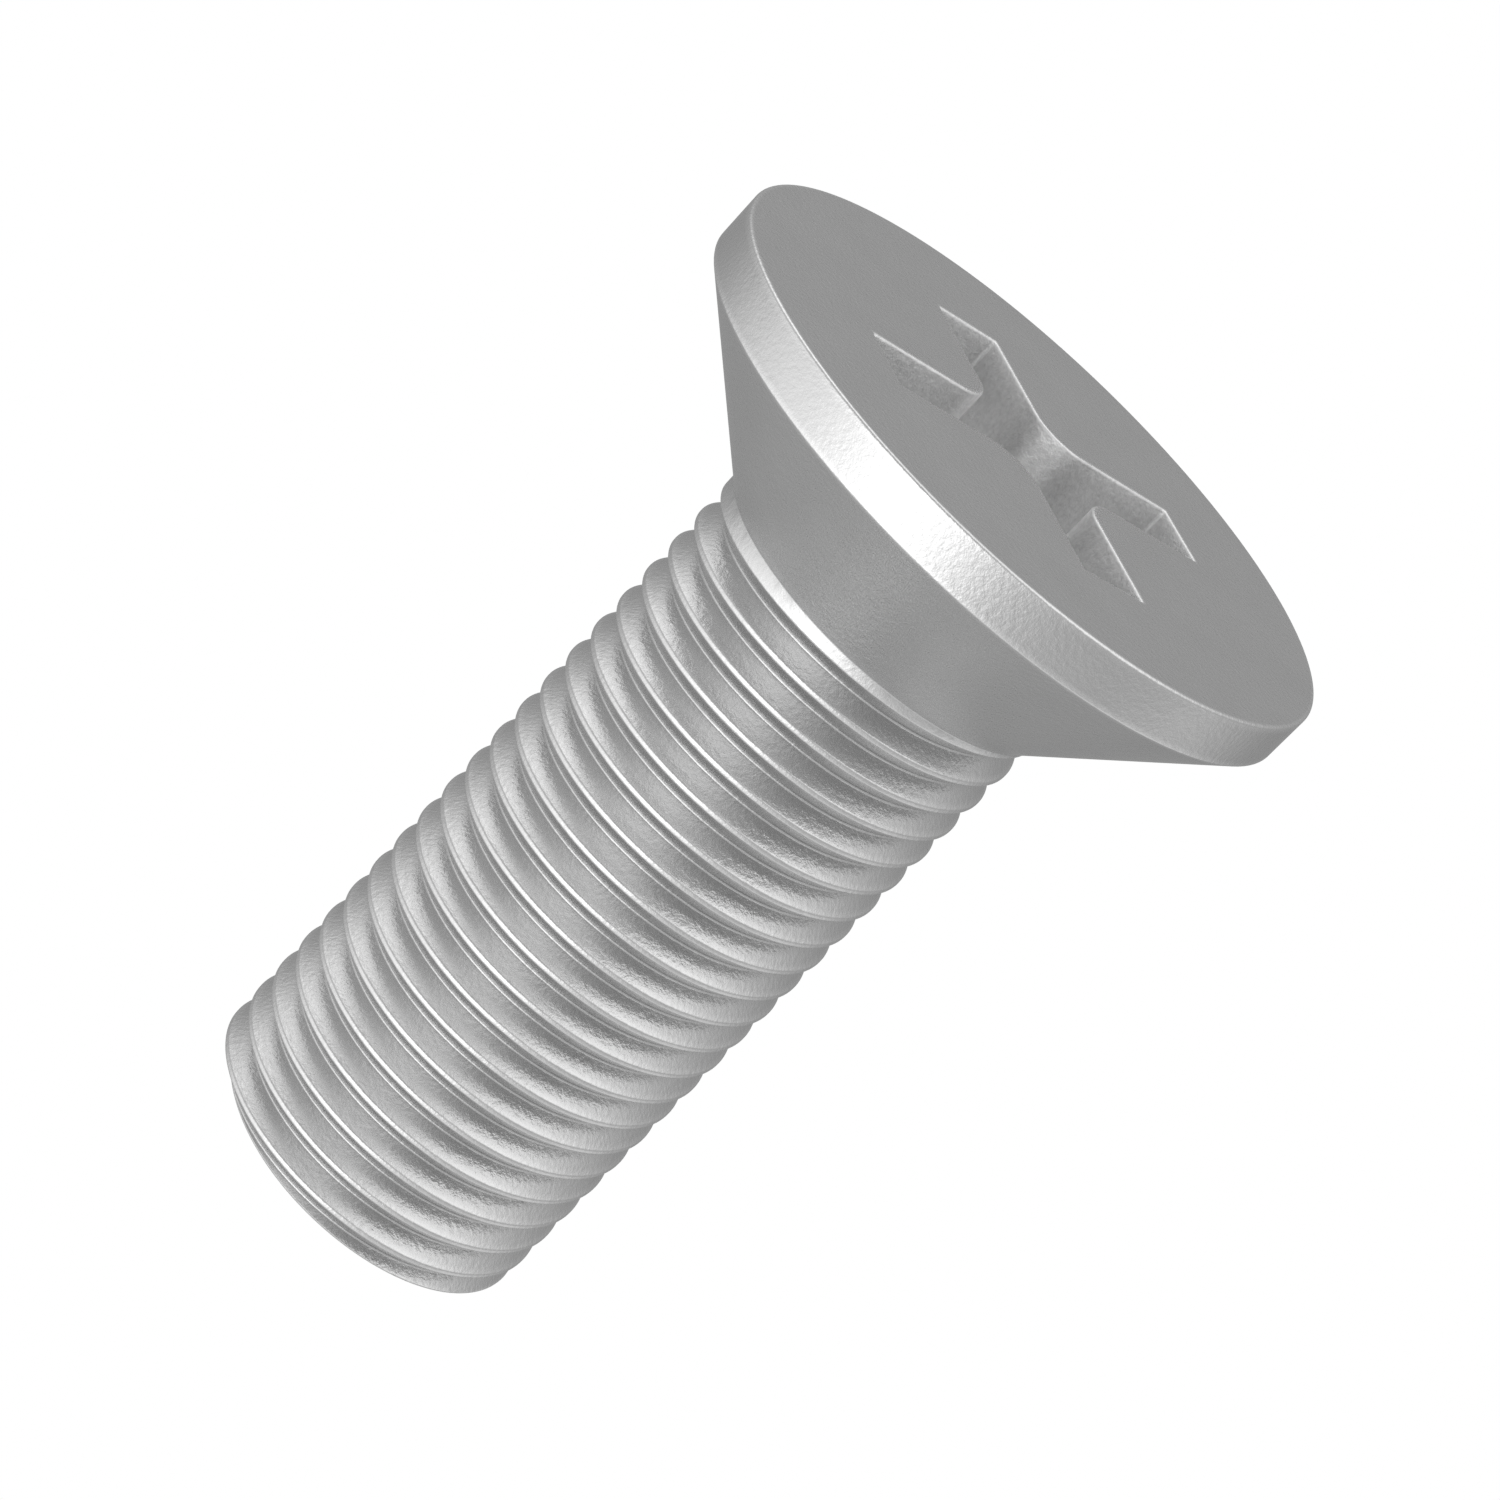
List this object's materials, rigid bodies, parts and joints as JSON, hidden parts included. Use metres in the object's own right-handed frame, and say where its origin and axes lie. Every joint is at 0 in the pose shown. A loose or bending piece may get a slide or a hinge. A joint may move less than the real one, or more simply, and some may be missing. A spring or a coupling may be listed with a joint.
{
  "type": "countersunk machine screw",
  "caption": "Fully threaded machine screw with a flat countersunk head, a cross recess and a flat tip, for fastening flush with a surface.",
  "frame": {"origin": "centre of the flat head face, where the driver enters the recess", "axes": "+Z along the screw's axis and out of the head, so the threaded shank runs down -Z; the wings of the cross recess lie along X and Y"},
  "size_m": [0.011, 0.011, 0.0159],
  "materials": {
    "satin_steel": "satin"
  },
  "bodies": {
    "root": {"screw": "satin_steel"}
  },
  "joints": []
}
